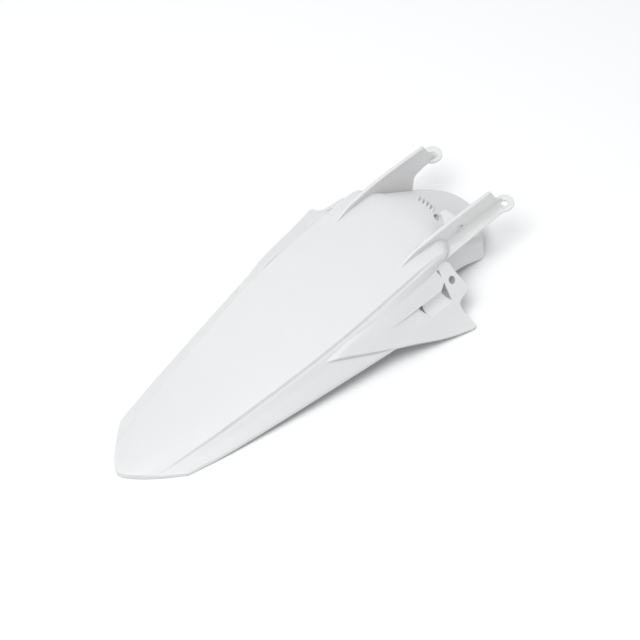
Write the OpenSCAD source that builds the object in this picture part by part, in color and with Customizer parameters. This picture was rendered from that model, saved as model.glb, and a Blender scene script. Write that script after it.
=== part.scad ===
// Rear fender of an off-road motorcycle: one moulded plastic shell.
// The tail points along -Y and the prongs along +Y. The shell rests on its tail, its wing tips and
// its front corners. Every size whose name ends in y is measured forward from the tail tip.

/* [Length] */
// Tail tip to the corners of the tail
corner_y = 65; // [60:1:70]
// Tail tip to the widest part of the flares that shows
mid_y = 327; // [310:1:340]
// Tail tip to the front end of the creases
shoulder_y = 488; // [480:1:496]
// Tail tip to the brow, where the top panel turns down into the apron
brow_y = 574; // [568:1:580]
// Tail tip to the front edge of the apron, on the centre line
apron_y = 665; // [656:1:676]
// Tail tip to the lower front corners of the side walls
foot_y = 623; // [617:1:629]

/* [Top panel] */
// Half width between the creases at the tail tip
tail_crease_w = 34.5; // [31:0.5:38]
// Half width between the creases a quarter of the way up
low_crease_w = 60; // [56:0.5:64]
// Half width between the creases at the widest part of the flares
mid_crease_w = 80; // [76:0.5:84]
// Half width between the creases at their front end
shoulder_crease_w = 82.5; // [80:0.5:86]
// Height of the creases where they meet the tail edge
tail_crease_h = 8; // [6.5:0.5:9.5]
// Height of the creases a quarter of the way up
low_crease_h = 31.5; // [28:1:36]
// Height of the creases at the widest part of the flares
mid_crease_h = 64.5; // [60:0.5:69]
// Height of the creases at their front end
shoulder_crease_h = 87.5; // [84:0.5:92]
// Rise of the top panel between the creases at the tail
tail_crown = 7.5; // [6.5:0.5:9]
// Rise of the top panel between the creases at the front
front_crown = 4.5; // [2:0.5:7]
// Depth of the groove below each crease
groove = 2.2; // [1:0.2:3.4]

/* [Apron] */
// How far the apron drops from the brow to its front edge
apron_drop = 60; // [54:1:64]
// How far the apron's front edge is set back at its sides
apron_bow = 34; // [26:1:38]
// Half width of the apron between the prongs
neck_w = 65; // [63:0.5:67]
// Half width of the apron at its foot
apron_w = 67; // [66:0.5:70]

/* [Flares] */
// Half width of the tail, corner to corner
tail_corner_w = 65; // [61:1:69]
// Half width over the flare edges a fifth of the way up
low_flare_w = 80.5; // [77:0.5:84]
// Half width over the flare edges at the widest part that shows
mid_flare_w = 111.5; // [107:0.5:116]
// Half width over the flare edges under the wings
flare_w = 124; // [120:0.5:127]
// Half width over the lower corners of the side walls
foot_w = 77; // [74:0.5:80]
// Height of the flare edge a fifth of the way up
low_flare_h = 4; // [3:0.5:6]
// Height of the flare edge at the widest part that shows
mid_flare_h = 20; // [17:0.5:24]
// Height of the flare edge under the wings
flare_h = 27; // [24:0.5:30]
// Height of the turned-down lip
lip_h = 4.8; // [3.6:0.2:6]
// How far the lip leans out round the tail
lip_draft = 2.5; // [1:0.5:4]
// Wall thickness of the shell
wall = 2.6; // [2:0.1:3.2]

/* [Wings] */
// Tail tip to the rear end of a wing, where it grows out of the crease
wing_y = 291; // [285:1:298]
// Tail tip to the outer tip of a wing
wing_tip_y = 517; // [513:1:521]
// Half width over the wing tips
wing_w = 158.5; // [155:0.5:162]
// Half width plus height of a wing's face, which slopes at 45 degrees
wing_sum = 157; // [155:0.5:159]
// Half width at the line where a wing's upper panel ends
step_x = 107.5; // [106:0.5:109]
// Half width at the fold between the gutter and a wing's lower panel
fold_x = 122; // [120:0.5:124]
// Depth of the gutter behind a wing's front edge
gutter_d = 6; // [4:0.5:7]
// Depth of the ramp where it meets the gutter
ramp_d = 3.4; // [2:0.2:3.6]

/* [Side tabs] */
// Tail tip to the centre of a tab's hole
tab_hole_y = 526.5; // [524:0.5:529]
// Half width to the centre of a tab's hole
tab_hole_x = 105.5; // [104:0.5:107]
// Diameter of a tab's hole
tab_hole_d = 10.5; // [8:0.5:11.5]
// Tail tip to the front corner of a tab
tab_y = 544; // [541:0.5:547]

/* [Prongs] */
// Tail tip to the centre of a prong's eye
eye_y = 675; // [671:1:679]
// Half width to the centre of a prong's eye
eye_x = 68; // [67:0.5:70]
// Height of the centre of a prong's eye
eye_h = 67; // [63:0.5:69]
// Forward tilt of a prong's eye
eye_tilt = 26; // [15:1:33]
// Diameter of the hole in a prong's eye
eye_hole_d = 10.5; // [8:0.5:12]
// Diameter of the lobe round a prong's eye
eye_d = 24; // [21:0.5:26]
// Thickness of the lobe
eye_t = 4.6; // [3.8:0.2:6]
// Tail tip to the root of a prong's fin
fin_y = 468; // [460:1:476]
// Tail tip to the upper front corner of a prong's fin
fin_end_y = 643.5; // [638:0.5:649]
// Height of the upper front corner of a prong's fin
fin_h = 107; // [103:0.5:111]
// Thickness of a prong's fin
fin_t = 3; // [2.4:0.2:4]
// Height of the flange where it leaves the shoulder
flange_h = 69; // [66:0.5:72]
// Thickness of the flange
flange_t = 3; // [2.4:0.2:4]
// Half width over the flanges at the shoulder
flange_w = 85; // [82:0.5:88]

/* [Latch lug and louvres] */
// Tail tip to the rear corner of the lug beside the right-hand prong, on its inner side
lug_y = 581; // [577:0.5:584]
// Length of the lug
lug_l = 11; // [9:0.5:14]
// Width of the lug, out to the prong
lug_w = 33; // [28:0.5:36]
// Height of the top of the lug
lug_h = 87; // [86:0.5:91]
// Tail tip to the screw hole through the prong into the lug
screw_y = 588; // [584:0.5:588]
// Height of the screw hole
screw_h = 82; // [80:0.5:82]
// Diameter of the screw hole
screw_d = 5; // [4:0.5:6]
// Depth of the screw hole
screw_l = 15; // [10:1:20]
// Tail tip to the row of louvres
louvre_y = 583; // [578:0.5:588]
// Distance between two louvres
louvre_pitch = 7.3; // [6.5:0.1:8]
// Length of a louvre slit
louvre_l = 11; // [8:0.5:13]
// Slant of the louvre slits in plan
louvre_slant = 30; // [15:1:40]

/* [Hidden] */
// Shape of the tail edge in plan: 1 is a straight V, 2 is a parabola
tail_power = 1.42;
low_y = 165;
low_flare_y = 139;
flare_y = 410;
ledge_y = 436;

// Smooth curve through a list of [y, value] stations
function slope(t, i) = let (a = max(i - 1, 0), b = min(i + 1, len(t) - 1))
    (t[b][1] - t[a][1]) / (t[b][0] - t[a][0]);
function seek(t, y, i = 0) = i >= len(t) - 2 || y < t[i + 1][0] ? i : seek(t, y, i + 1);
function through(t, y) = let (
        i = seek(t, y), d = t[i + 1][0] - t[i][0], u = (y - t[i][0]) / d,
        m0 = slope(t, i) * d, m1 = slope(t, i + 1) * d, u2 = u * u, u3 = u2 * u)
    y <= t[0][0] ? t[0][1] + slope(t, 0) * (y - t[0][0]) :
    y >= t[len(t) - 1][0] ? t[len(t) - 1][1] :
    (2 * u3 - 3 * u2 + 1) * t[i][1] + (u3 - 2 * u2 + u) * m0
        + (3 * u2 - 2 * u3) * t[i + 1][1] + (u3 - u2) * m1;
function ease(a, b, y) = let (u = min(max((y - a) / (b - a), 0), 1)) u * u * (3 - 2 * u);
function mix(a, b, u) = a + (b - a) * u;

// Half width and height of the creases, and rise of the panel between them
function crease_w(y) = through([[0, tail_crease_w], [low_y, low_crease_w], [mid_y, mid_crease_w],
        [shoulder_y, shoulder_crease_w]], y)
    - (shoulder_crease_w - neck_w) * ease(shoulder_y, shoulder_y + 68, y)
    + (apron_w - neck_w) * ease(brow_y + 22, foot_y + 10, y);
function crease_h(y) = through([[42, tail_crease_h], [low_y, low_crease_h],
        [mid_y, mid_crease_h], [shoulder_y, shoulder_crease_h]], y);
function crown(y) = mix(tail_crown, front_crown, ease(0, mid_y, y));

// Drop of the apron below the line of the top panel
function drop(y) = let (u = y - brow_y)
    apron_drop / (apron_y - brow_y) * (u + sqrt(u * u + 256)) / 2;
function bow(t) = apron_bow * pow(abs(t), 2.2);
function top_z(t, y) = crease_h(y) - drop(y + bow(t))
    + crown(y) * (1 - pow(abs(t), mix(2.6, 2, ease(0, mid_y, y))));

// Lower edge of the flares and of the side walls
function edge_w(y) = through([[corner_y, tail_corner_w], [low_flare_y, low_flare_w],
        [mid_y, mid_flare_w], [flare_y, flare_w]], y)
    - (flare_w - foot_w) * ease(flare_y - 10, 585, y);
function edge_h(y) = let (u = max(y - 500, 0) / (foot_y - 500))
    through([[corner_y, 0], [low_flare_y, low_flare_h], [mid_y, mid_flare_h],
        [flare_y, flare_h]], y) - flare_h * u * u;

// Tail edge in plan
function tail_y(x) = corner_y * pow(min(abs(x) / tail_corner_w, 1), tail_power);

// Lanes run from the tail to the front. Lanes 0 to panel_n lie on the top panel; then come the
// groove, the foot of the ledge, the flare, the top of the lip and its lower edge.
panel_n = 8;
lane_n = panel_n + 5;
row_n = 40;

function lane_t(i) = sin(90 * i / panel_n);
// Place of a side lane between the groove (0) and the top of the lip (1)
function side_u(i) = [0, 0.33, 0.66, 1, 1][i - panel_n - 1];

// Foot of the ledge that stands below the front part of each crease
function ledge_pt(y) = [
    through([[ledge_y, 92], [517, 85.5], [560, neck_w + 4]], y),
    through([[ledge_y, 64], [517, 67], [560, 64]], y)];
function side_pt(i, y) = let (
        w = crease_w(y), z = top_z(1, y),
        a = [w + 0.7, z - groove * ease(corner_y, 200, y) - 0.3],
        d = [edge_w(y), edge_h(y) + lip_h],
        straight = mix(a, d, side_u(i)),
        k = ease(350, ledge_y, y) * (1 - ease(525, 575, y)))
    i == panel_n + 1 ? a :
    i == panel_n + 2 ? mix(straight, ledge_pt(y), k) :
    i == panel_n + 3 ? mix(straight, mix(ledge_pt(y), d, 0.5) - [2, 5], k) :
    i == panel_n + 4 ? d : [d[0] + 0.2, d[1] - lip_h];

// One point of the outer skin: lane i of the right half at distance y
function skin_pt(i, y) = i <= panel_n
    ? let (t = lane_t(i)) [t * crease_w(y), y, top_z(t, y)]
    : let (p = side_pt(i, y)) [p[0], y, p[1]];

// Where a lane starts at the tail edge and where it ends at the front
function start_y(i) = i == lane_n ? corner_y + 8 : let (
        a = tail_y(skin_pt(i, 20)[0]), b = tail_y(skin_pt(i, a)[0]))
    tail_y(skin_pt(i, b)[0]) + lip_draft;
function end_y(i) = i <= panel_n ? apron_y - bow(lane_t(i))
    : mix(apron_y - bow(1), foot_y, (i - panel_n) / (lane_n - panel_n));

// Rows lie closer together over the brow
row_pts = [[0, 0], [0.3, 0.4], [0.6, 0.75], [0.85, 0.93], [1, 1]];
function grid_y(i, j) = mix(start_y(i), end_y(i), through(row_pts, j / row_n));

// The row before the first one is the lower edge of the lip round the tail
function tail_lip(i) = let (
        y = i == lane_n ? corner_y : i == lane_n - 1 ? corner_y - 5 : start_y(i) - lip_draft,
        x = tail_corner_w * pow(y / corner_y, 1 / tail_power))
    [x, y, 0];
function half_pt(i, j) = j < 0 ? tail_lip(i) : skin_pt(i, grid_y(i, j));

// Skin as rows of points from the left edge to the right edge
skin = [for (j = [-1 : row_n]) [for (i = [-lane_n : lane_n])
    let (p = half_pt(abs(i), j)) [i < 0 ? -p[0] : p[0], p[1], p[2]]]];
function unit(v) = v / norm(v);
function inward(g, i, j) = let (
        i1 = max(i - 1, 0), i2 = min(i + 1, len(g[0]) - 1),
        j1 = max(j - 1, 0), j2 = min(j + 1, len(g) - 1))
    unit(cross(g[j2][i] - g[j1][i], g[j][i2] - g[j][i1]));

// Closed solid between a grid of points and a second grid below it
module slab(top, low) {
    n = len(top[0]);
    m = len(top);
    k = n * m;
    function quad(a, b, c, d) = [[a, b, c], [a, c, d]];
    polyhedron(
        points = [for (r = top) each r, for (r = low) each r],
        faces = [
            for (j = [0 : m - 2], i = [0 : n - 2]) let (a = j * n + i)
                each quad(a, a + n, a + n + 1, a + 1),
            for (j = [0 : m - 2], i = [0 : n - 2]) let (a = k + j * n + i)
                each quad(a, a + 1, a + n + 1, a + n),
            for (i = [0 : n - 2]) each quad(i, i + 1, k + i + 1, k + i),
            for (i = [0 : n - 2]) let (a = (m - 1) * n + i) each quad(a, k + a, k + a + 1, a + 1),
            for (j = [0 : m - 2]) let (a = j * n) each quad(a, k + a, k + a + n, a + n),
            for (j = [0 : m - 2]) let (a = j * n + n - 1) each quad(a, a + n, k + a + n, k + a)
        ]);
}

module shell() {
    slab(skin, [for (j = [0 : row_n + 1]) [for (i = [0 : 2 * lane_n])
        skin[j][i] + wall * inward(skin, i, j)]]);
}

// Wing: a bent plate that grows out of the crease at the rear and hangs free at the front
root_sum = crease_w(wing_y) + crease_h(wing_y);
function wing_z(x, y) = mix(root_sum, wing_sum, through([[wing_y - 1, 0], [330, 0.5], [374, 0.84],
        [408, 0.96], [ledge_y, 1]], y)) - x
    + 6.2 * ease(490, wing_tip_y, y) * ease(130, wing_w, x)
    - 5 * (1 - ease(83, 93, x)) * (1 - ease(395, 430, y));
function wing_wall(y) = wall * sqrt(2) + 1.6 * (1 - ease(360, 430, y));
wing_x = [76, 84, 87, 90, 94, 105, 130, 140, 150, 170];
wing_rows = [wing_y - 1, 302, 316, 330, 345, 360, 374, 391, 408, 425, 440, 490, 504, wing_tip_y, 560];

module wing() {
    plate = [for (y = wing_rows) [for (x = wing_x) [x, y, wing_z(x, y)]]];
    difference() {
        union() {
            intersection() {
                slab(plate, [for (r = plate) [for (p = r) p - [0, 0, wing_wall(p[1])]]]);
                translate([0, 0, -20]) linear_extrude(120) wing_outline();
            }
            gutter_frame() difference() {
                translate([0, gutter_r - gutter_d, 464])
                    cylinder(h = pocket_y - 464, r = gutter_r + 2, $fn = 72);
                translate([-20, -wall / 3, 400]) cube([40, 40, 200]);
                gutter(466, pocket_y - 2);
            }
            // backing under the ramp
            gutter_frame() translate([-9, -wall - 1.8, 425]) cube([16, wall + 1, 40]);
        }
        gutter_frame() {
            gutter(466, 505);
            ramp_cut();
        }
        translate([0, 0, -20]) linear_extrude(120) {
            polygon([[88.2, 511], [90, 516.5], [97.3, 514.5]]);
            polygon([[step_x, 460.5], [step_x, 467], [fold_x - 2.3, 468]]);
        }
        gutter_frame() rotate([-90, 0, 0]) translate([0, 0, -1.6])
            linear_extrude(10) polygon([[18.3, -514.5], [10.7, -503.3], [-8.1, -511.6]]);
        translate([tab_hole_x, tab_hole_y, wing_z(tab_hole_x, tab_hole_y)]) rotate([0, 45, 0])
            cylinder(h = 40, d = tab_hole_d, center = true, $fn = 40);
    }
}

// Frame on the wing's face, over the middle of the gutter: its z runs forward, its y points out of
// the face and its x points up the slope
gutter_c = (step_x + fold_x) / 2;
gutter_w = (fold_x - step_x) * sqrt(2);
gutter_r = (gutter_w * gutter_w / 4 + gutter_d * gutter_d) / gutter_d / 2;
pocket_y = 520;
module gutter_frame() {
    translate([gutter_c, 0, wing_sum - gutter_c]) rotate([0, -135, 0]) rotate([-90, 0, 0]) children();
}
module gutter(y0, y1) {
    translate([0, gutter_r - gutter_d, y0]) cylinder(h = y1 - y0, r = gutter_r, $fn = 72);
}
// Facet that sinks below the face towards the gutter
module ramp_cut() {
    a = gutter_w / 2;
    d = ramp_d;
    polyhedron(
        points = [[a, -0.01, 392], [a, -d, 461], [-a, -0.01, 467], [-a, -0.01, 430],
            [a, 4, 392], [a, 4, 461], [-a, 4, 467], [-a, 4, 430]],
        faces = [[0, 3, 1], [1, 3, 2], [4, 5, 7], [5, 6, 7], [0, 5, 4], [0, 1, 5],
            [1, 6, 5], [1, 2, 6], [2, 7, 6], [2, 3, 7], [3, 4, 7], [3, 0, 4]]);
}
module wing_outline() {
    polygon([
        [81, wing_y], [92.4, 316.8], [107.4, 353.1], [121.6, 390.9], [133.7, 429.4],
        [146.4, 469.9], [153, 493.2], [wing_w - 1.3, 508.8], [wing_w, wing_tip_y - 1.5],
        [wing_w - 0.8, wing_tip_y + 3], [wing_w - 3, wing_tip_y + 3.5], [144.5, wing_tip_y],
        [131.5, wing_tip_y], [127.6, wing_tip_y + 2], [125.2, 524.5], [122.2, tab_y - 2], [120.5, tab_y],
        [116.6, tab_y - 1], [100.4, 537.4], [90, 536], [83, 528], [83.5, 517], [88, 480],
        [90.5, ledge_y], [91, 395], [88, 360], [82, 335], [79.5, 310], [78.5, wing_y]]);
}

// Prong: a fin with a flange at its foot and an eye at its end
module prong() {
    difference() {
        union() {
            translate([neck_w, 0, 0]) rotate([90, 0, 90]) translate([0, 0, -fin_t])
                linear_extrude(fin_t) polygon([
                    [fin_y, 80], [fin_y, top_z(0.77, fin_y) - 0.6], [fin_end_y, fin_h], [eye_y - 14, eye_h + 9], [eye_y - 8, eye_h + 1],
                    [eye_y - 9, eye_h - 3], [648, 64], [631, 60], [632, 22], [600, 42], [575, 61], [545, 77],
                    [500, 78]]);
            intersection() {
                rotate([90, 0, 90]) linear_extrude(100) flange_side();
                linear_extrude(120) flange_plan();
            }
            eye_frame() cylinder(h = eye_t, d = eye_d, center = true, $fn = 64);
        }
        eye_frame() cylinder(h = 30, d = eye_hole_d, center = true, $fn = 40);
    }
}
module eye_frame() {
    translate([eye_x, eye_y, eye_h - flange_t / 2]) rotate([-eye_tilt, 0, 0]) children();
}
module flange_side() {
    rise = 10 * sin(eye_tilt);
    top = [[494, flange_h + 1.5], [517, flange_h], [560, flange_h - 2.5], [620, flange_h - 4],
        [648, flange_h - 2], [eye_y - 12, eye_h + rise], [eye_y, eye_h],
        [eye_y + 4, eye_h - 4 * tan(eye_tilt)]];
    polygon([each top, for (i = [len(top) - 1 : -1 : 0]) top[i] - [0, flange_t]]);
}
module flange_plan() {
    polygon([[neck_w - 1, 494], [78, 494], [flange_w, 517], [83, 541], [80.5, 590], [79, 620],
        [eye_x + eye_d / 2, eye_y - 4], [eye_x + eye_d / 2, eye_y + 4], [eye_x - eye_d / 2 + 1, eye_y + 4],
        [eye_x - eye_d / 2 + 1, 660], [neck_w - 2, 640]]);
}

// Latch lug on the inner side of the right-hand prong
module lug() {
    translate([0, 0, 66]) linear_extrude(lug_h - 66) polygon([
        [neck_w - 1.5 - lug_w, lug_y], [neck_w - 1.5 - lug_w, lug_y + lug_l],
        [neck_w - 1.5, lug_y + lug_l], [neck_w - 1.5, lug_y - 14]]);
}
module lug_pocket() {
    translate([0, 0, 60]) linear_extrude(40) polygon([
        [neck_w - lug_w - 13, lug_y + 9], [neck_w - lug_w - 5.5, lug_y + 15],
        [neck_w - lug_w - 2.6, lug_y + 9], [neck_w - lug_w + 4, lug_y - 1.5],
        [neck_w - lug_w - 1, lug_y - 4]]);
}
module screw_hole() {
    translate([neck_w - screw_l, screw_y, screw_h]) rotate([0, 90, 0])
        cylinder(h = screw_l + 5, d = screw_d, $fn = 32);
}

module louvres() {
    for (k = [-1.5 : 1.5]) translate([k * louvre_pitch, louvre_y, brow_z(louvre_y)])
        rotate([-22, 0, 0]) rotate([0, 0, louvre_slant]) cube([2.4, louvre_l, 30], center = true);
}
function brow_z(y) = top_z(0, y);

module fender() {
    color("white") translate([0, -length / 2, 0]) difference() {
        union() {
            shell();
            for (s = [0, 1]) mirror([s, 0, 0]) {
                wing();
                prong();
            }
            lug();
        }
        louvres();
        lug_pocket();
        screw_hole();
    }
}
length = eye_y + eye_d / 2 * cos(eye_tilt) + eye_t / 2 * sin(eye_tilt);

fender();
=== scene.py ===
import bpy
import math
from mathutils import Matrix, Vector

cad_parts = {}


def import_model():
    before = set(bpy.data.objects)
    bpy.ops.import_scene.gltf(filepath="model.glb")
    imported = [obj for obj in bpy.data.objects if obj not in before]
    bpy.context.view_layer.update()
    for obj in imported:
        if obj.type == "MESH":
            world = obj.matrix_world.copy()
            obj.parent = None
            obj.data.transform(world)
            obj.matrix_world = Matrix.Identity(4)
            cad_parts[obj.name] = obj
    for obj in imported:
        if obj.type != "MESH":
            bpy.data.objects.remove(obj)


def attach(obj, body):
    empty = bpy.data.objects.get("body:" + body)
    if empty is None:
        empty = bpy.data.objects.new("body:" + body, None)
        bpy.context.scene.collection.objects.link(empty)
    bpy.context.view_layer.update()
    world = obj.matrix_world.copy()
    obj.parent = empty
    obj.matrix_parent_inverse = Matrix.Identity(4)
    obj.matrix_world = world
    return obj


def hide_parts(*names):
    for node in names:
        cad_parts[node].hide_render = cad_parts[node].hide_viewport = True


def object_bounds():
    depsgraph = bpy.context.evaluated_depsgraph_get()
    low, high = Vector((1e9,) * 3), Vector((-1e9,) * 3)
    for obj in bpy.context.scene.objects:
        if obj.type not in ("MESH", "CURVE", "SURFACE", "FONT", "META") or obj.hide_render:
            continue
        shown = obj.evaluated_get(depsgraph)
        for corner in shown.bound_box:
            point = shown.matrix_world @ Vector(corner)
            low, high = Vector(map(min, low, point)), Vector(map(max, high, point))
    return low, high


# White moulded rear fender. Sizes are in mm: y runs forward from the tail tip, x out from the
# middle and z up from the floor. In a name, Y is a place along it, W a half width and H a height.
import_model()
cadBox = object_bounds()
print("frame loaded")

mm = 0.001
halfLength = -cadBox[0][1] / mm   # the tail tip stands half a length behind the middle


def world(p):
    return Vector((p[0] * mm, (p[1] - halfLength) * mm, p[2] * mm))


# curves
def slope(table, i):
    a, b = max(i - 1, 0), min(i + 1, len(table) - 1)
    return (table[b][1] - table[a][1]) / (table[b][0] - table[a][0])


def through(table, y):   # smooth through [y, value] rows, straight before them and level after them
    if y <= table[0][0]:
        return table[0][1] + slope(table, 0) * (y - table[0][0])
    if y >= table[-1][0]:
        return table[-1][1]
    i = 0
    while i < len(table) - 2 and y >= table[i + 1][0]:
        i += 1
    d = table[i + 1][0] - table[i][0]
    u = (y - table[i][0]) / d
    return ((2 * u ** 3 - 3 * u * u + 1) * table[i][1] + (u ** 3 - 2 * u * u + u) * slope(table, i) * d
            + (3 * u * u - 2 * u ** 3) * table[i + 1][1] + (u ** 3 - u * u) * slope(table, i + 1) * d)


def ease(a, b, y):
    u = min(max((y - a) / (b - a), 0), 1)
    return u * u * (3 - 2 * u)


def mix(a, b, u):
    return a + (b - a) * u


# modelling helpers
def deselect():
    if bpy.context.mode != "OBJECT":
        bpy.ops.object.mode_set(mode="OBJECT")
    bpy.ops.object.select_all(action="DESELECT")


def focus(obj):
    deselect()
    obj.select_set(True)
    bpy.context.view_layer.objects.active = obj


def applyModifier(obj, kind, **values):
    focus(obj)
    mod = obj.modifiers.new(kind.lower(), kind)
    for key, value in values.items():
        setattr(mod, key, value)
    bpy.ops.object.modifier_apply(modifier=mod.name)


def combine(obj, tool, how):
    applyModifier(obj, "BOOLEAN", operation=how, solver="MANIFOLD", object=tool)
    bpy.data.objects.remove(tool)
    return obj


# where an outline's point (u, v) at height h lies: in plan, or seen from the side
def plan(u, v, h):
    return world((u, v, h))


def side(u, v, h):
    return world((h, u, v))


def prism(name, outline, place, low, high):
    deselect()
    bpy.ops.mesh.primitive_circle_add(vertices=len(outline), radius=0.1, fill_type="NGON")
    obj = bpy.context.object
    obj.name = name
    for v, p in zip(obj.data.vertices, outline):
        v.co = place(p[0], p[1], low)
    bpy.ops.object.mode_set(mode="EDIT")
    bpy.ops.mesh.select_all(action="SELECT")
    bpy.ops.mesh.extrude_region_move(
        TRANSFORM_OT_translate={"value": place(0, 0, high) - place(0, 0, low)})
    bpy.ops.mesh.select_all(action="SELECT")
    bpy.ops.mesh.normals_make_consistent(inside=False)
    bpy.ops.object.mode_set(mode="OBJECT")
    return obj


def rod(name, place, turn, radius, depth, sides=96, topRadius=None):
    deselect()
    bpy.ops.mesh.primitive_cone_add(vertices=sides, radius1=radius * mm,
                                    radius2=(radius if topRadius is None else topRadius) * mm,
                                    depth=depth * mm, location=place, rotation=turn)
    obj = bpy.context.object
    obj.name = name
    bpy.ops.object.transform_apply(location=True, rotation=True, scale=True)
    return obj


def surface(name, points):   # a grid laid through rows of points
    rows, cols = len(points), len(points[0])
    deselect()
    bpy.ops.mesh.primitive_grid_add(x_subdivisions=cols - 1, y_subdivisions=rows - 1, size=0.2)
    obj = bpy.context.object
    obj.name = name
    for v, p in zip(obj.data.vertices, [p for row in points for p in row]):
        v.co = world(p)
    obj.data.update()
    return obj


# shell: a crowned panel between two creases, a step outside each, then the flares
shell = {
    "creaseTailY": 42, "cornerY": 65, "lowFlareY": 139, "lowY": 165, "midY": 327, "flareY": 410,
    "ledgeY": 436, "shoulderY": 488, "archY": 500, "turnY": 528, "browY": 574, "footY": 623, "apronY": 665,
    "tailCreaseW": 34.5, "lowCreaseW": 60, "midCreaseW": 80, "shoulderCreaseW": 82.5, "turnW": 83,
    "neckW": 65, "neckRun": 34, "apronW": 67, "widenY": (596, 633),
    "tailCreaseH": 8, "lowCreaseH": 31.5, "midCreaseH": 64.5, "shoulderCreaseH": 87.5,
    "turnRise": 3, "turnHold": 6, "tailCrown": 7.5, "frontCrown": 4.5, "crownPowers": (2.6, 2),
    "apronDrop": 60, "apronBow": 34, "bowPower": 2.2, "browSoft": 16,
    "stepH": 5.2, "stepW": 1.3, "stepLeast": 0.4, "stepIn": (10, 160), "stepOut": (465, 520),
    "benchW": 3.8, "benchFall": 0.8, "hollow": 0.7,
    "tailCornerW": 65, "lowFlareW": 80.5, "midFlareW": 111.5, "flareW": 124, "footW": 77, "tuckY": (400, 585),
    "lowFlareH": 4, "midFlareH": 20, "flareH": 27,
    "ledgeW": [[436, 93], [500, 90], [522, 86], [540, 81], [560, 69]],
    "ledgeH": [[395, 60.5], [436, 63.5], [500, 66], [522, 67], [560, 64]],
    "lipH": 4.8, "lipDraft": 0.4, "lipLean": 0.2, "wall": 2.6, "tailPower": 1.42,
    "rounds": (1.3, 1.2, 2.4, 8, 14, 1.4),                  # crease, step's foot, bench, two on the flare, lip
    "frontSteps": (0, 0.14, 0.28, 0.46, 0.64, 0.82, 1),     # how far each of them runs from apron to foot
}


def creaseW(y):
    s = shell
    return (through([[0, s["tailCreaseW"]], [s["lowY"], s["lowCreaseW"]], [s["midY"], s["midCreaseW"]],
                     [s["shoulderY"], s["shoulderCreaseW"]], [s["turnY"], s["turnW"]]], y)
            - (s["turnW"] - s["neckW"]) * ease(s["turnY"], s["turnY"] + s["neckRun"], y)
            + (s["apronW"] - s["neckW"]) * ease(*s["widenY"], y))


def creaseH(y):
    s = shell
    return (through([[s["creaseTailY"], s["tailCreaseH"]], [s["lowY"], s["lowCreaseH"]],
                     [s["midY"], s["midCreaseH"]], [s["shoulderY"], s["shoulderCreaseH"]],
                     [s["turnY"], s["shoulderCreaseH"] + s["turnRise"]]], y)
            - s["turnRise"] * ease(s["turnY"] + s["turnHold"], s["browY"], y))


def bow(t):   # the apron's front edge curves back towards the sides
    return shell["apronBow"] * abs(t) ** shell["bowPower"]


def topZ(t, y):   # height of the top panel, t from 0 in the middle to 1 at the crease
    s = shell
    u = y + bow(t) - s["browY"]
    drop = s["apronDrop"] / (s["apronY"] - s["browY"]) * (u + math.sqrt(u * u + s["browSoft"] ** 2)) / 2
    front = ease(0, s["midY"], y)
    crown = mix(s["tailCrown"], s["frontCrown"], front)
    return creaseH(y) - drop + crown * (1 - abs(t) ** mix(*s["crownPowers"], front))


def edgeW(y):
    s = shell
    return (through([[s["cornerY"], s["tailCornerW"]], [s["lowFlareY"], s["lowFlareW"]],
                     [s["midY"], s["midFlareW"]], [s["flareY"], s["flareW"]]], y)
            - (s["flareW"] - s["footW"]) * ease(*s["tuckY"], y))


def edgeH(y):
    s = shell
    u = max(y - s["archY"], 0) / (s["footY"] - s["archY"])
    return through([[s["cornerY"], 0], [s["lowFlareY"], s["lowFlareH"]], [s["midY"], s["midFlareH"]],
                    [s["flareY"], s["flareH"]]], y) - s["flareH"] * u * u


def tailY(x):   # the tail's rim in plan
    return shell["cornerY"] * min(abs(x) / shell["tailCornerW"], 1) ** shell["tailPower"]


def ledge(y):   # the flat shelf on the side wall, ahead of the wing's root
    return Vector((through(shell["ledgeW"], y), through(shell["ledgeH"], y)))


def rounded(p, before, after, radius, steps=4):
    a, b = before - p, after - p
    start = p + a.normalized() * min(radius, 0.45 * a.length)
    end = p + b.normalized() * min(radius, 0.45 * b.length)
    us = [k / steps for k in range(steps + 1)]
    return [start * (1 - u) ** 2 + p * 2 * u * (1 - u) + end * u * u for u in us]


panelTs = [math.sin(math.pi / 2 * i / 26) for i in range(23)]   # lanes lie closer towards the crease
laneCount = len(panelTs) + 5 * len(shell["rounds"]) + 1


def corners(y):   # the half section outside the panel: crease, step, bench, flare and lip
    s = shell
    w = creaseW(y)
    crease = Vector((w, topZ(1, y)))
    g = ease(*s["stepIn"], y) * (1 - 0.7 * ease(*s["stepOut"], y))   # the step fades at both ends
    foot = Vector((w + s["stepW"], crease.y - s["stepH"] * g - s["stepLeast"]))
    bench = Vector((w + s["benchW"], foot.y - s["benchFall"] * g * (1 - ease(465, 515, y))
                    - s["stepLeast"] - 3 * ease(480, 530, y)))
    lip = Vector((edgeW(y), edgeH(y) + s["lipH"]))
    u = ease(345, 415, y) * (1 - ease(525, 575, y))                  # share of the ledge
    upper = (bench.lerp(lip, 0.33) - Vector((s["hollow"], s["hollow"])) * g).lerp(ledge(y), u)
    lower = bench.lerp(lip, 0.66).lerp(ledge(y).lerp(lip, 0.5) - Vector((2, 5)), u)
    return [crease, foot, bench, upper, lower, lip, Vector((lip.x + s["lipLean"], lip.y - s["lipH"]))]


def lanePoint(i, y):
    if i < len(panelTs):
        return Vector((panelTs[i] * creaseW(y), topZ(panelTs[i], y)))
    pts = corners(y)
    n, step = divmod(i - len(panelTs), 5)
    if n == len(pts) - 1:
        return pts[-1]
    before = pts[n - 1] if n else Vector((panelTs[-1] * creaseW(y), topZ(panelTs[-1], y)))
    return rounded(pts[n], before, pts[n + 1], shell["rounds"][n])[step]


def startY(i):
    if i == laneCount - 1:
        return shell["cornerY"] + 8
    y = 20
    for _ in range(3):   # closes in on the rim
        y = tailY(lanePoint(i, y).x)
    return y + shell["lipDraft"]


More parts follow.
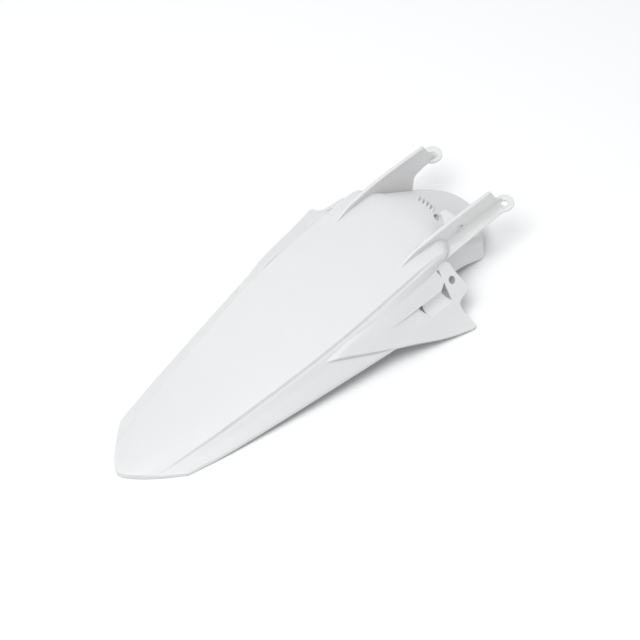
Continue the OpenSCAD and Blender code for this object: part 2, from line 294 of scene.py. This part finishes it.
def endY(i):
    n = len(panelTs)
    if i < n:
        return shell["apronY"] - bow(panelTs[i])
    low = shell["apronY"] - bow(1)
    return mix(low, shell["footY"], shell["frontSteps"][(i - n) // 5] + 0.01 * ((i - n) % 5))


def lipFoot(i, ys):   # where a lane's lip meets the floor round the tail
    s = shell
    first = laneCount - 6
    y = ys[i] - s["lipDraft"] if i < first else mix(
        ys[first - 1] - s["lipDraft"], s["cornerY"], (i - first + 1) / 6)
    return Vector((s["tailCornerW"] * (y / s["cornerY"]) ** (1 / s["tailPower"]), y, 0))


def makeShell():
    rows = 150
    spread = [[0, 0], [0.3, 0.4], [0.6, 0.75], [0.85, 0.93], [1, 1]]   # rows lie closer towards the front
    starts = [startY(i) for i in range(laneCount)]
    columns = []
    for i in range(laneCount):
        a, b = starts[i], endY(i)
        col = []
        for j in range(rows + 1):
            y = mix(a, b, through(spread, j / rows))
            p = lanePoint(i, y)
            col.append(Vector((p.x, y, p.y)))
        foot = lipFoot(i, starts)
        edge = rounded(col[0], foot, col[1], shell["rounds"][-1])
        columns.append([foot, foot.lerp(col[0], 0.4)] + edge + col[1:])
    points = []
    for j in range(len(columns[0])):
        right = [columns[i][j] for i in range(laneCount)]
        points.append([Vector((-p.x, p.y, p.z)) for p in right[:0:-1]] + right)
    obj = surface("shell", points)
    applyModifier(obj, "SOLIDIFY", thickness=shell["wall"] * mm, offset=-1, use_even_offset=True,
                  thickness_clamp=0.0)
    for v in obj.data.vertices:   # the inner skin ends flat on the floor round the tail
        v.co.z = max(v.co.z, 0)
    return obj


# wings: a thin sheet that leaves the crease, with a gutter, a ramp, slots and a holed tab
wing = {
    "startY": 291, "tipY": 517, "halfWidth": 158.5, "sum": 157, "tipX": 130, "tipRise": 6, "wall": 2.6,
    "lift": [[290, 0], [330, 0.5], [374, 0.84], [408, 0.96], [436, 1]],   # from the crease to its own plane
    "sink": 5, "sinkX": (83, 93), "sinkY": (395, 430),                    # its inner edge dives into the flare
    "rear": [[291, 81], [316.8, 92.4], [353.1, 107.4], [390.9, 121.6], [429.4, 133.7], [469.9, 146.4],
             [493.2, 153], [508.8, 157.2]],
    "gutterX": (107.5, 122), "gutterDepth": 6, "gutterY": (450, 520), "troughWall": 2,
    "reach": [[100, 452.4], [126, 470.9], [126, 510.1], [100, 514.1]],
    "rampDepth": 3.4, "rampInnerY": (392, 461), "rampOuterY": (430, 467),
    "holeX": 105.5, "holeY": 526.5, "holeD": 11.6, "tabY": 544,
    "slots": [[[88.2, 511], [90, 516.5], [97.8, 514]],
              [[102.4, 513.8], [107.5, 502.7], [121.1, 510.9]],
              [[107.5, 458.5], [107.5, 466.3], [120.8, 467.6]]],
}
rootSum = creaseW(wing["startY"]) + creaseH(wing["startY"])
gutterC = sum(wing["gutterX"]) / 2
gutterW = (wing["gutterX"][1] - wing["gutterX"][0]) * math.sqrt(2)
gutterR = (gutterW * gutterW / 4 + wing["gutterDepth"] ** 2) / wing["gutterDepth"] / 2


def face(u, v, h):   # u half width and v length in plan, h out of the wing's face
    r = h / math.sqrt(2)
    return world((u + r, v, wing["sum"] - u + r))


def wingZ(x, y):
    w = wing
    tip = max(x - w["tipX"], 0) / (w["halfWidth"] - w["tipX"])
    return (mix(rootSum, w["sum"], through(w["lift"], y)) - x
            + w["tipRise"] * tip * tip * ease(shell["ledgeY"], w["tipY"], y)
            - w["sink"] * (1 - ease(*w["sinkX"], x)) * (1 - ease(*w["sinkY"], y)))


def wingOutline():
    wide, tip, tab = wing["halfWidth"], wing["tipY"], wing["tabY"]
    rearEdge = [[through(wing["rear"], 291 + k * 6.05), 291 + k * 6.05] for k in range(37)]
    return rearEdge + [
        # round the tip and along the trimmed front edge
        [wide - 0.2, tip - 4], [wide, tip - 0.5], [wide - 0.9, tip + 2.4], [wide - 2.6, tip + 3.6],
        [wide - 5, tip + 3.2], [149, tip + 1.2], [144.5, tip], [137, tip - 0.6], [131.5, tip],
        [129, tip + 1.2], [127.2, tip + 3], [126, tip + 5.5], [125.2, tip + 8],
        # round the tab, and back inside the shell
        [123.5, tab - 8], [122.4, tab - 3], [121.6, tab - 1], [120.2, tab - 0.1], [118.4, tab - 0.2],
        [116.6, tab - 1], [100.4, 537.4], [90, 536], [83, 528], [83.5, 517], [87, 480],
        [90.5, shell["ledgeY"]], [91, 395], [88, 360], [82, 335], [79.5, 310], [78.5, 291]]


def gutter(name, radius, low, high):   # a rod along the wing's face
    off = (gutterR - wing["gutterDepth"]) / math.sqrt(2)
    place = world((gutterC + off, (low + high) / 2, wing["sum"] - gutterC + off))
    return rod(name, place, (math.pi / 2, 0, 0), radius, high - low, 128)


def cutRamp(obj):
    w = wing
    deselect()
    bpy.ops.mesh.primitive_cube_add(size=0.1)
    ramp = bpy.context.object
    for v in ramp.data.vertices:
        inner, front, up = v.co.x > 0, v.co.y > 0, v.co.z > 0
        x = w["gutterX"][0] if inner else w["gutterX"][1]
        y = (w["rampInnerY"] if inner else w["rampOuterY"])[1 if front else 0]
        v.co = face(x, y, 4 if up else (-w["rampDepth"] if inner and front else -0.01))
    bpy.ops.object.mode_set(mode="EDIT")
    bpy.ops.mesh.select_all(action="SELECT")
    bpy.ops.mesh.quads_convert_to_tris()
    bpy.ops.mesh.normals_make_consistent(inside=False)
    bpy.ops.object.mode_set(mode="OBJECT")
    combine(obj, ramp, "DIFFERENCE")


def makeWing():
    w = wing
    rows = [290 + 3 * k for k in range(90)]
    cols = [76 + 2.2 * k for k in range(43)]
    start, end = w["gutterY"]
    obj = surface("wing", [[Vector((x, y, wingZ(x, y))) for x in cols] for y in rows])
    applyModifier(obj, "SOLIDIFY", thickness=w["wall"] * mm, offset=-1, use_even_offset=True)
    combine(obj, prism("outline", wingOutline(), plan, -30, 120), "INTERSECT")

    # trough under the gutter, and the ramp's backing
    trough = gutter("trough", gutterR + w["troughWall"], start + 5, end + 2)
    combine(trough, prism("low", [[90, 450], [140, 450], [140, 530], [90, 530]], face, -25, -0.9), "INTERSECT")
    combine(trough, gutter("hollow", gutterR, start + 7, end), "DIFFERENCE")
    combine(obj, trough, "UNION")
    back, half = gutterC - 9, gutterC + 9 / math.sqrt(2)
    combine(obj, prism("backing", [[back, 420], [half, 420], [half, 459], [back, 459]],
                       face, -w["wall"] - 1.8, -0.8), "UNION")

    cutter = gutter("open", gutterR, start, end)
    combine(cutter, prism("reach", w["reach"], face, -16, 16), "INTERSECT")
    combine(obj, cutter, "DIFFERENCE")
    cutRamp(obj)
    combine(obj, prism("underTab", [[100, 498], [126, 513.9], [126, end], [100, end]],
                       face, -16, -w["wall"]), "DIFFERENCE")
    for outline in w["slots"]:
        combine(obj, prism("slot", outline, face, -16, 16), "DIFFERENCE")
    combine(obj, rod("hole", face(w["holeX"], w["holeY"], 0), (0, math.pi / 4, 0), w["holeD"] / 2, 40, 64),
            "DIFFERENCE")
    return obj


# prongs: an upright fin with a bead on top, a flange outside it and an eye at the end
prong = {
    "eyeX": 68.2, "eyeY": 671.4, "eyeH": 69.9, "tilt": 12, "holeD": 10.5, "lobeD": 28.4, "lobeT": 4.6,
    "lobeRound": 1.1, "sinkD": 17, "sinkT": 1.6,
    "finY": 468, "finEndY": 643.5, "finH": 107, "finT": 3, "bead": 2.7, "beadStart": 14, "beadIn": 1.9,
    "flangeY": 494, "flangeH": 69, "flangeT": 3, "flangeW": 85, "fillet": 7, "filletW": 9,
}


def makeBead(crest):
    p = prong
    low, high = p["finY"] + p["beadStart"], p["finEndY"] - 1
    deselect()
    bpy.ops.mesh.primitive_cylinder_add(vertices=20, radius=mm, depth=1)
    bead = bpy.context.object
    bpy.ops.object.mode_set(mode="EDIT")
    bpy.ops.mesh.select_all(action="SELECT")
    bpy.ops.mesh.bisect(plane_co=(0, 0, 0), plane_no=(0, 0, 1))
    for k in range(1, 30):
        bpy.ops.mesh.select_all(action="SELECT")
        bpy.ops.mesh.bisect(plane_co=(0, 0, k / 30 - 0.5), plane_no=(0, 0, 1))
    bpy.ops.object.mode_set(mode="OBJECT")
    for v in bead.data.vertices:
        t = v.co.z + 0.5
        y = mix(low, high, t)
        size = p["bead"] * ease(-0.1, 0.25, t)
        x = shell["neckW"] - p["beadIn"] - 1.8 * (1 - ease(470, 560, y))
        across, up = [math.copysign(abs(c / mm) ** 0.55, c) for c in v.co.xy]   # a squarish bead
        v.co = world((x + across * size, y, through(crest, y) + (up - 1) * size))
    bpy.ops.object.mode_set(mode="EDIT")
    bpy.ops.mesh.select_all(action="SELECT")
    bpy.ops.mesh.normals_make_consistent(inside=False)
    bpy.ops.object.mode_set(mode="OBJECT")
    return bead


def makeFin(crest):
    p, n, eye, top, high = prong, shell["neckW"], prong["eyeY"], prong["eyeH"], prong["finH"]
    ys = [p["finY"] + (p["finEndY"] - p["finY"]) * k / 24 for k in range(25)]
    fin = prism("prong", [[p["finY"], 80]] + [[y, through(crest, y)] for y in ys] + [
        # down the front to the eye, then back under the fin
        [eye - 25, high - 1.6], [eye - 20.5, high - 10], [eye - 16, top + 19.5], [eye - 11.5, top + 14.5],
        [eye - 4, top + 8], [eye - 1, top + 4], [eye, top + 1], [eye, top - 4], [648, 64.5], [637, 61.5],
        [631, 59.5], [628.5, 55], [626, 32], [600, 42], [575, 61], [545, 77], [500, 78]],
        side, n - 15, n)
    t = p["finT"]
    # in plan the toe leans in a little and thins out
    combine(fin, prism("toe", [[n - t - 2.7, p["finY"] - 1], [n - 3.3, p["finY"] - 1], [n - 1.2, 515], [n, 560],
                               [n, eye + 1], [n - t, eye + 1], [n - t, 560], [n - t - 1, 515]], plan, 0, 120),
            "INTERSECT")
    return fin


def makeFlange():   # it sweeps up into the fin
    p, n, eye, top, flat = prong, shell["neckW"], prong["eyeY"], prong["eyeH"], prong["flangeH"]
    start, reach = p["flangeY"], p["lobeD"] / 2 - 3
    heights = [[start, flat + 1.5], [518, flat + 1.2], [542, flat - 0.8], [566, flat - 1.4],
               [589, flat - 1.6], [619, flat - 0.5], [eye - 24, top - 3],
               [eye - reach, top - reach * math.tan(math.radians(p["tilt"]))], [eye, top]]
    widths = [[start, 78], [518, p["flangeW"]], [541, 83], [566, 81], [590, 80], [620, 79],
              [eye - 26, p["eyeX"] + 9.5], [eye - 14, p["eyeX"] + 9], [eye - 5, p["eyeX"] + 12],
              [eye, p["eyeX"] + 12]]
    ys = [start + (eye - start) * k / 60 for k in range(61)]
    cols = [40 + 1.25 * k for k in range(49)]
    flange = surface("flange", [[Vector((x, y, through(heights, y) + p["fillet"] * max(
        0, 1 - max(x - n + 0.5, 0) / p["filletW"]) ** 2)) for x in cols] for y in ys])
    applyModifier(flange, "SOLIDIFY", thickness=p["flangeT"] * mm, offset=-1, use_even_offset=True)
    combine(flange, prism("flangePlan", [[through(widths, y), y] for y in ys] + [
        [p["eyeX"] - 8, eye], [n - 2, eye - 12], [n - 2, 630], [n - 1, start]], plan, 0, 120), "INTERSECT")
    return flange


def addEye(fin):
    p = prong
    tilt = math.radians(p["tilt"])
    axis = Vector((0, -math.sin(tilt), math.cos(tilt)))
    centre = world((p["eyeX"], p["eyeY"], p["eyeH"]))
    turn = (tilt, 0, 0)
    lobe = rod("lobe", centre - axis * (p["lobeT"] / 2 * mm), turn, p["lobeD"] / 2, p["lobeT"], 96)
    applyModifier(lobe, "BEVEL", width=p["lobeRound"] * mm, segments=3, limit_method="ANGLE", angle_limit=0.9)
    combine(fin, lobe, "UNION")
    combine(fin, rod("bore", centre, turn, p["holeD"] / 2, 50, 64), "DIFFERENCE")
    deep = p["sinkT"] + 0.2   # the countersink starts just above the face
    over = (p["sinkD"] - p["holeD"]) / 2 * deep / p["sinkT"]
    combine(fin, rod("sink", centre - axis * ((p["sinkT"] - deep / 2) * mm), turn, p["holeD"] / 2, deep, 64,
                     p["holeD"] / 2 + over), "DIFFERENCE")


def makeProng():
    high = prong["finH"]
    crest = [[prong["finY"], topZ(0.72, prong["finY"]) - 0.4], [495, high - 8.5], [530, high - 2.5],
             [562, high - 0.5], [600, high - 0.1], [prong["finEndY"], high - 0.2]]
    fin = makeFin(crest)
    combine(fin, makeFlange(), "UNION")
    combine(fin, makeBead(crest), "UNION")
    addEye(fin)
    return fin


# latch lug on the right prong, with its pocket and screw hole
lug = {
    "x": 30.5, "y": 581, "length": 11, "rootX": 63.5, "foot": 62, "top": 87,
    "pocketH": 75.2, "pocketFloor": (70, 77),
    "screwY": 588, "screwH": 82, "screwD": 5, "screwX": (50, 70),
    "seatY": (577.5, 584.5), "seatH": (76, 89), "seatDepth": 1.1,
}


def makeLug():
    x, y, n = lug["x"], lug["y"], lug["rootX"]
    obj = prism("lug", [[x - 1.7, y + 2], [x, y + lug["length"]], [n, y + lug["length"] + 1], [n, y - 15]],
                plan, lug["foot"], lug["top"])
    # its rear face leans down to the panel
    for v in obj.data.vertices:
        if v.co.z < 0.07 and v.co.y < world((0, y + 5, 0)).y:
            free = v.co.x < 0.04
            v.co += Vector((4 * mm if free else 0, -17 * mm if free else -4 * mm, 0))
    return obj


def cutPocket(obj):   # a blind recess with its own floor
    x, y = lug["x"], lug["y"]
    combine(obj, prism("pocketFloor", [[x - 11, y - 4], [x - 10, y + 4], [x, y + 4], [x + 8, y - 8],
                                       [x + 3, y - 14], [x - 5, y - 12]], plan, *lug["pocketFloor"]), "UNION")
    combine(obj, prism("pocket", [[x - 8, y - 3], [x - 7, y + 1], [x - 1.7, y + 1], [x + 3, y - 5],
                                  [x + 5, y - 8.5], [x + 2.5, y - 11], [x - 3.5, y - 8.5]],
                       plan, lug["pocketH"], 95), "DIFFERENCE")


def cutScrew(obj):
    near, far = lug["screwX"]
    combine(obj, rod("screw", world(((near + far) / 2, lug["screwY"], lug["screwH"])), (0, math.pi / 2, 0),
                     lug["screwD"] / 2, far - near, 48), "DIFFERENCE")
    # shallow seat beside the screw, on the prong's outer face
    (ya, yb), (za, zb) = lug["seatY"], lug["seatH"]
    combine(obj, prism("seat", [[ya, za], [yb, za], [yb, zb], [ya, zb]], side,
                       shell["neckW"] - lug["seatDepth"], shell["neckW"] + 5), "DIFFERENCE")


# louvres on the brow: slanted slits between raised rims
louvre = {
    "x": -1.5, "y": 586.5, "bend": 0.35, "pitch": 7.3, "slant": 30, "tilt": -22,
    "length": 15.5, "width": 3.1, "depth": 2.1, "height": 7.9, "lean": (0.62, -0.35),
    "rim": (2.3, 10, 2.7),
}


def louvrePlace(k):
    y = louvre["y"] - louvre["bend"] * abs(k)
    x = k * louvre["pitch"] + louvre["x"]
    return (Matrix.Translation(world((x, y, topZ(x / creaseW(y), y))))
            @ (Matrix.Rotation(math.radians(louvre["tilt"]), 4, "X")
               @ Matrix.Rotation(math.radians(louvre["slant"]), 4, "Z")))


def addLouvres(obj):
    for k in (-2, -1, 0, 1, 2):   # each rim is a long low bead
        deselect()
        bpy.ops.mesh.primitive_uv_sphere_add(segments=32, ring_count=20, radius=mm)
        rim = bpy.context.object
        rim.data.transform(louvrePlace(k) @ Matrix.Diagonal((*louvre["rim"], 1)))
        combine(obj, rim, "UNION")
    middle, half = (louvre["height"] - louvre["depth"]) / 2, (louvre["height"] + louvre["depth"]) / 2
    lean = Matrix.Shear("XY", 4, louvre["lean"])   # the slit runs down and back, so its lower wall is dark
    for k in (-1.5, -0.5, 0.5, 1.5):
        deselect()
        bpy.ops.mesh.primitive_cylinder_add(vertices=32, radius=mm, depth=2 * mm)
        slit = bpy.context.object
        size = Matrix.Diagonal((louvre["width"] / 2, louvre["length"] / 2, half, 1))
        slit.data.transform(louvrePlace(k) @ lean @ Matrix.Translation((0, 0, middle * mm)) @ size)
        combine(obj, slit, "DIFFERENCE")


fender = makeShell()
print("shell", len(fender.data.polygons))
wings = makeWing()
applyModifier(wings, "MIRROR", use_axis=(True, False, False), use_mirror_merge=False)
print("wings", len(wings.data.polygons))
prongs = makeProng()
applyModifier(prongs, "MIRROR", use_axis=(True, False, False), use_mirror_merge=False)
print("prongs", len(prongs.data.polygons))
combine(fender, wings, "UNION")
combine(fender, prongs, "UNION")
cutPocket(fender)
combine(fender, makeLug(), "UNION")
cutScrew(fender)
addLouvres(fender)
fender.name = "fenderMoulding"
focus(fender)
bpy.ops.object.shade_smooth_by_angle(angle=math.radians(28))
print("moulding", len(fender.data.polygons), "faces")
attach(fender, "root")
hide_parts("fender")


# moulded white plastic
finish = {
    "white": (0.718, 0.717, 0.713), "shade": (0.688, 0.69, 0.692), "waveScale": 14,
    "roughness": (0.37, 0.49), "specular": 0.42, "grain": 0.05, "grainScale": 2600, "grainDepth": 0.0002,
    "glow": 0.4, "glowScale": 0.007, "glowRadius": (1.0, 0.9, 0.8),
}


def mouldedPlastic(name):
    mat = bpy.data.materials.new(name)
    mat.use_nodes = True
    nodes, links = mat.node_tree.nodes, mat.node_tree.links
    shader = nodes["Principled BSDF"]
    coords = nodes.new("ShaderNodeTexCoord")
    wave = nodes.new("ShaderNodeTexNoise")          # slow change of tone from the mould's flow
    wave.inputs["Scale"].default_value = finish["waveScale"]
    wave.inputs["Detail"].default_value = 3
    links.new(coords.outputs["Object"], wave.inputs["Vector"])
    tone = nodes.new("ShaderNodeMix")
    tone.data_type = "RGBA"
    tone.inputs["A"].default_value = (*finish["white"], 1)
    tone.inputs["B"].default_value = (*finish["shade"], 1)
    links.new(wave.outputs["Fac"], tone.inputs["Factor"])
    links.new(tone.outputs["Result"], shader.inputs["Base Color"])

    grain = nodes.new("ShaderNodeTexNoise")         # fine spark-eroded texture
    grain.inputs["Scale"].default_value = finish["grainScale"]
    grain.inputs["Detail"].default_value = 2
    links.new(coords.outputs["Object"], grain.inputs["Vector"])
    bump = nodes.new("ShaderNodeBump")
    bump.inputs["Strength"].default_value = finish["grain"]
    bump.inputs["Distance"].default_value = finish["grainDepth"]
    links.new(grain.outputs["Fac"], bump.inputs["Height"])
    links.new(bump.outputs["Normal"], shader.inputs["Normal"])

    rough = nodes.new("ShaderNodeMapRange")
    rough.inputs["To Min"].default_value, rough.inputs["To Max"].default_value = finish["roughness"]
    links.new(wave.outputs["Fac"], rough.inputs["Value"])
    links.new(rough.outputs["Result"], shader.inputs["Roughness"])
    shader.inputs["Specular IOR Level"].default_value = finish["specular"]
    shader.inputs["Subsurface Weight"].default_value = finish["glow"]   # light comes through the thin wall
    shader.inputs["Subsurface Scale"].default_value = finish["glowScale"]
    shader.inputs["Subsurface Radius"].default_value = finish["glowRadius"]
    return mat


fender.data.materials.clear()
fender.data.materials.append(mouldedPlastic("whiteMouldedPlastic"))
print("material done")


# floor, lights and camera, in metres
studio = {
    "floor": (0.93, 0.93, 0.93), "floorSize": 14, "floorZ": -0.0006,
    "sky": (0.965, 0.98, 1.0), "skyPower": 0.66,
    "key": ((0.12, -0.8, 2.4), (0, 0.05, 0), 1.9, 41),       # place, aim, size and power
    "fill": ((-1.6, -1.6, 1.2), (0, 0, 0.05), 1.6, 1),
    "cameraFromTail": (1.8533, -1.5094, 2.9430), "cameraTurn": (42, 44.5), "lens": 162.56,
}


def paleFloor():
    mat = bpy.data.materials.new("paleFloor")
    mat.use_nodes = True
    shader = mat.node_tree.nodes["Principled BSDF"]
    shader.inputs["Base Color"].default_value = (*studio["floor"], 1)
    shader.inputs["Roughness"].default_value = 0.9
    shader.inputs["Specular IOR Level"].default_value = 0.1
    return mat


def softLight(name, place, aim, size, power):
    bpy.ops.object.light_add(type="AREA", location=place)
    lamp = bpy.context.object
    lamp.name = name
    lamp.data.shape = "DISK"
    lamp.data.size = size
    lamp.data.energy = power
    lamp.rotation_euler = (Vector(aim) - Vector(place)).to_track_quat("-Z", "Y").to_euler()


deselect()
bpy.ops.mesh.primitive_plane_add(size=studio["floorSize"], location=(0, 0, studio["floorZ"]))
floor = bpy.context.object
floor.name = "studioFloor"
floor.data.materials.append(paleFloor())

softLight("key", *studio["key"])
softLight("fill", *studio["fill"])

sky = bpy.context.scene.world or bpy.data.worlds.new("studio")
bpy.context.scene.world = sky
sky.use_nodes = True
sky.node_tree.nodes["Background"].inputs["Color"].default_value = (*studio["sky"], 1)
sky.node_tree.nodes["Background"].inputs["Strength"].default_value = studio["skyPower"]
bpy.context.scene.view_settings.view_transform = "Standard"

x, y, z = studio["cameraFromTail"]
down, about = studio["cameraTurn"]
bpy.ops.object.camera_add(location=(x, y - halfLength * mm, z),
                          rotation=(math.radians(down), 0, math.radians(about)))
camera = bpy.context.object
camera.name = "camera"
camera.data.sensor_width = 36
camera.data.lens = studio["lens"]
camera.data.clip_end = 30
bpy.context.scene.camera = camera
print("floor, lights and camera placed")
